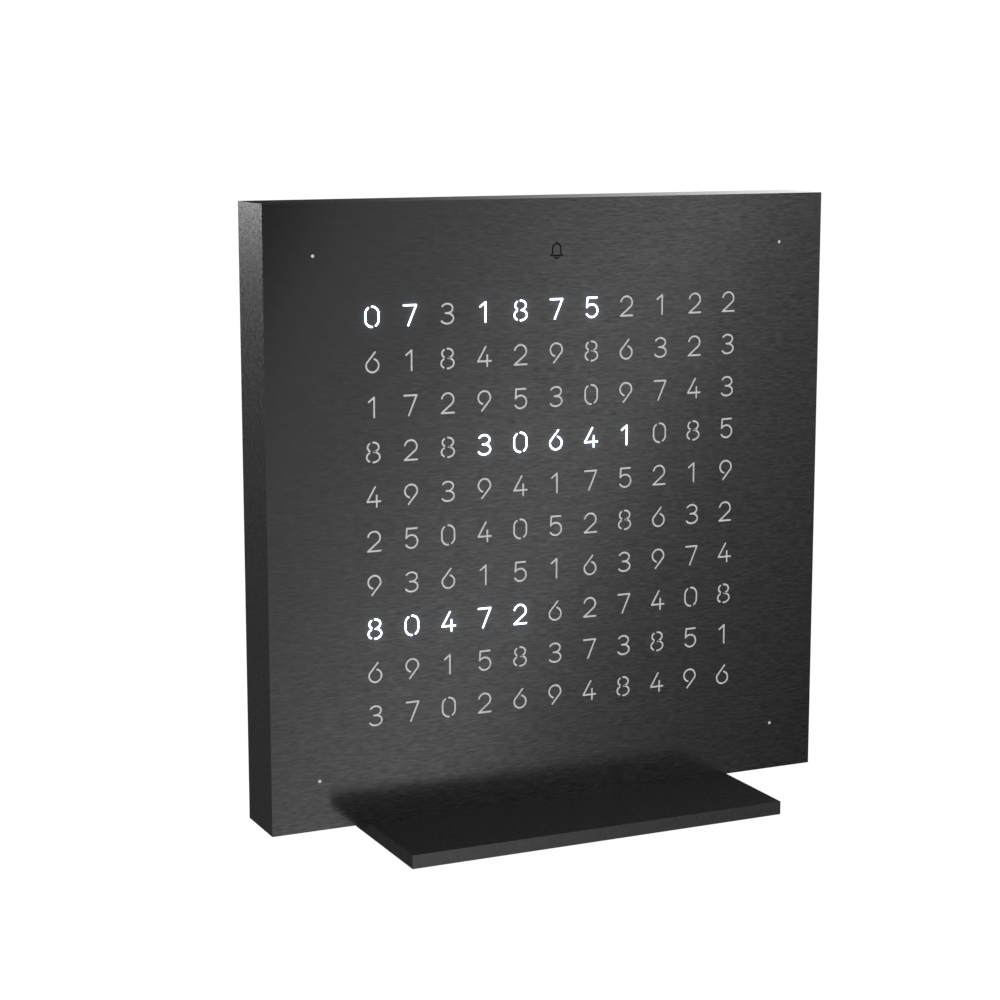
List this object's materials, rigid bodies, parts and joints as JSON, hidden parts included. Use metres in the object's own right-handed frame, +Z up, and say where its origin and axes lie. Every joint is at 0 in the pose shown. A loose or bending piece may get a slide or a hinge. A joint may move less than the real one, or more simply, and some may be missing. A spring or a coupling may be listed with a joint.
{
  "type": "word clock",
  "caption": "Square desk word clock: thin dark body whose face has a field of cut-out signs, partly lit, standing on a flat foot plate.",
  "frame": {"origin": "middle of the foot mat's underside, on the surface that the clock stands on", "axes": "+Z up, the face looks along -Y, +X to the right of someone who reads the clock"},
  "size_m": [0.135, 0.063, 0.1384],
  "materials": {
    "front_sheet": "dark, fine horizontal brushing, satin",
    "lit_sign": "opal filling of a sign, lit from behind",
    "unlit_sign": "opal filling of a sign, unlit",
    "opal_sheet": "opal, satin",
    "housing_coat": "fine-grained black coating, satin",
    "foot_coat": "fine-grained black coating, satin",
    "rear_plastic": "black, finely textured moulding",
    "button_plastic": "black, smooth moulding",
    "grid_plastic": "white moulding",
    "board": "green circuit board with a solder mask",
    "led": "white case, pale yellow lens",
    "chip_plastic": "black moulded package",
    "nickel": "nickel plated",
    "steel": "zinc plated steel",
    "contact_brass": "spring bronze strip",
    "mat_rubber": "matt black rubber"
  },
  "bodies": {
    "housing": {"housing_frame": "housing_coat", "housing_magnets": "nickel", "light_grid": "grid_plastic", "led_board": "board", "word_leds": "led", "sign_leds": "led", "led_drivers": "chip_plastic", "clock_chip": "chip_plastic", "clock_crystal": "nickel", "power_coil": "chip_plastic", "cell_holder": "chip_plastic", "backup_cell": "steel", "sounder": "chip_plastic", "power_socket": "nickel", "socket_tongue": "chip_plastic", "touch_contact": "contact_brass", "button_switches": "chip_plastic", "rear_cover": "rear_plastic", "foot_plate": "foot_coat", "foot_mat": "mat_rubber", "rear_screws": "steel", "board_screws": "steel", "foot_screws": "steel"},
    "cover": {"front_cover": "front_sheet", "cover_backing": "opal_sheet", "cover_magnets": "nickel"},
    "hour_key": {"hour_button": "button_plastic", "hour_plunger": "button_plastic"},
    "minute_key": {"minute_button": "button_plastic", "minute_plunger": "button_plastic"},
    "alarm_key": {"alarm_button": "button_plastic", "alarm_plunger": "button_plastic"},
    "light_key": {"light_button": "button_plastic", "light_plunger": "button_plastic"}
  },
  "joints": [
    {"name": "cover_pull", "type": "slide", "parent": "housing", "child": "cover", "axis": [0, -1, 0], "range_m": [0, 0.03]},
    {"name": "hour_press", "type": "slide", "parent": "housing", "child": "hour_key", "axis": [0, -1, 0], "range_m": [0, 0.0005], "stiffness_N_per_m": 2000},
    {"name": "minute_press", "type": "slide", "parent": "housing", "child": "minute_key", "axis": [0, -1, 0], "range_m": [0, 0.0005], "stiffness_N_per_m": 2000},
    {"name": "alarm_press", "type": "slide", "parent": "housing", "child": "alarm_key", "axis": [0, -1, 0], "range_m": [0, 0.0005], "stiffness_N_per_m": 2000},
    {"name": "light_press", "type": "slide", "parent": "housing", "child": "light_key", "axis": [0, -1, 0], "range_m": [0, 0.0005], "stiffness_N_per_m": 2000}
  ]
}
